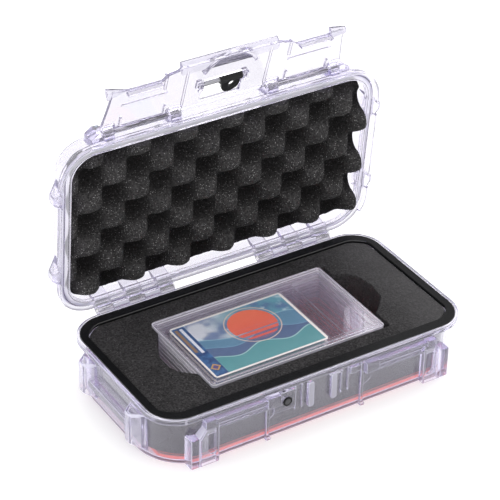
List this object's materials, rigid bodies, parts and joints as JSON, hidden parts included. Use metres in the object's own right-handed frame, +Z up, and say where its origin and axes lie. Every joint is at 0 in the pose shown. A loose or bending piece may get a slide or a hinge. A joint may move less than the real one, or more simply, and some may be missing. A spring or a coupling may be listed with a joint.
{
  "type": "graded card storage case",
  "caption": "Clear latching case with a hinged lid, front latch, rim gasket, egg-crate lid foam and a foam pocket that holds a stack of graded card slabs.",
  "frame": {"origin": "centre of the base's flat underside, on the surface that the case stands on", "axes": "+X along the long front towards its right end, +Y from the latch side to the hinge side, +Z up"},
  "size_m": [0.2566, 0.1594, 0.2233],
  "materials": {
    "case_clear": "gloss",
    "slab_clear": "gloss",
    "foam_dark": "matte",
    "pad_red": "matte",
    "gasket_rubber": "satin",
    "pin_steel": "polished",
    "pin_dark": "satin",
    "black_plastic": "satin",
    "membrane_white": "matte",
    "card_paper": "satin"
  },
  "bodies": {
    "base": {"base_shell": "case_clear", "bottom_pad": "pad_red", "foam_insert": "foam_dark", "gasket": "gasket_rubber", "hinge_pin_left": "pin_steel", "hinge_pin_right": "pin_steel", "purge_valve": "black_plastic", "purge_membrane": "membrane_white"},
    "lid": {"lid_shell": "case_clear", "lid_foam": "foam_dark", "latch_pin_left": "pin_steel", "latch_pin_right": "pin_steel"},
    "latch": {"latch": "case_clear", "lock_pin": "pin_dark"},
    "lock_tab": {"lock_tab": "black_plastic"},
    "slab_1": {"slab_1_back": "slab_clear", "card_1": "card_paper", "slab_1_front": "slab_clear"},
    "slab_2": {"slab_2_back": "slab_clear", "card_2": "card_paper", "slab_2_front": "slab_clear"},
    "slab_3": {"slab_3_back": "slab_clear", "card_3": "card_paper", "slab_3_front": "slab_clear"},
    "slab_4": {"slab_4_back": "slab_clear", "card_4": "card_paper", "slab_4_front": "slab_clear"},
    "slab_5": {"slab_5_back": "slab_clear", "card_5": "card_paper", "slab_5_front": "slab_clear"}
  },
  "joints": [
    {"name": "lid_hinge", "type": "hinge", "parent": "base", "child": "lid", "pos_m": [0, 0.07055, 0.04027], "axis": [-1, 0, 0], "range_deg": [-84.5, 0]},
    {"name": "latch_hinge", "type": "hinge", "parent": "lid", "child": "latch", "pos_m": [0, 0.06418, 0.18186], "axis": [-1, 0, 0], "range_deg": [-77.5, 40]},
    {"name": "lock_tab_hinge", "type": "hinge", "parent": "latch", "child": "lock_tab", "pos_m": [0.0025, 0.058, 0.20088], "axis": [1, 0, 0], "range_deg": [0, 90]},
    {"name": "slab_1_lift", "type": "slide", "parent": "base", "child": "slab_1", "axis": [0, 0, 1], "range_m": [0, 0.045]},
    {"name": "slab_2_lift", "type": "slide", "parent": "slab_1", "child": "slab_2", "axis": [0, 0, 1], "range_m": [0, 0.045]},
    {"name": "slab_3_lift", "type": "slide", "parent": "slab_2", "child": "slab_3", "axis": [0, 0, 1], "range_m": [0, 0.045]},
    {"name": "slab_4_lift", "type": "slide", "parent": "slab_3", "child": "slab_4", "axis": [0, 0, 1], "range_m": [0, 0.045]},
    {"name": "slab_5_lift", "type": "slide", "parent": "slab_4", "child": "slab_5", "axis": [0, 0, 1], "range_m": [0, 0.045]}
  ]
}
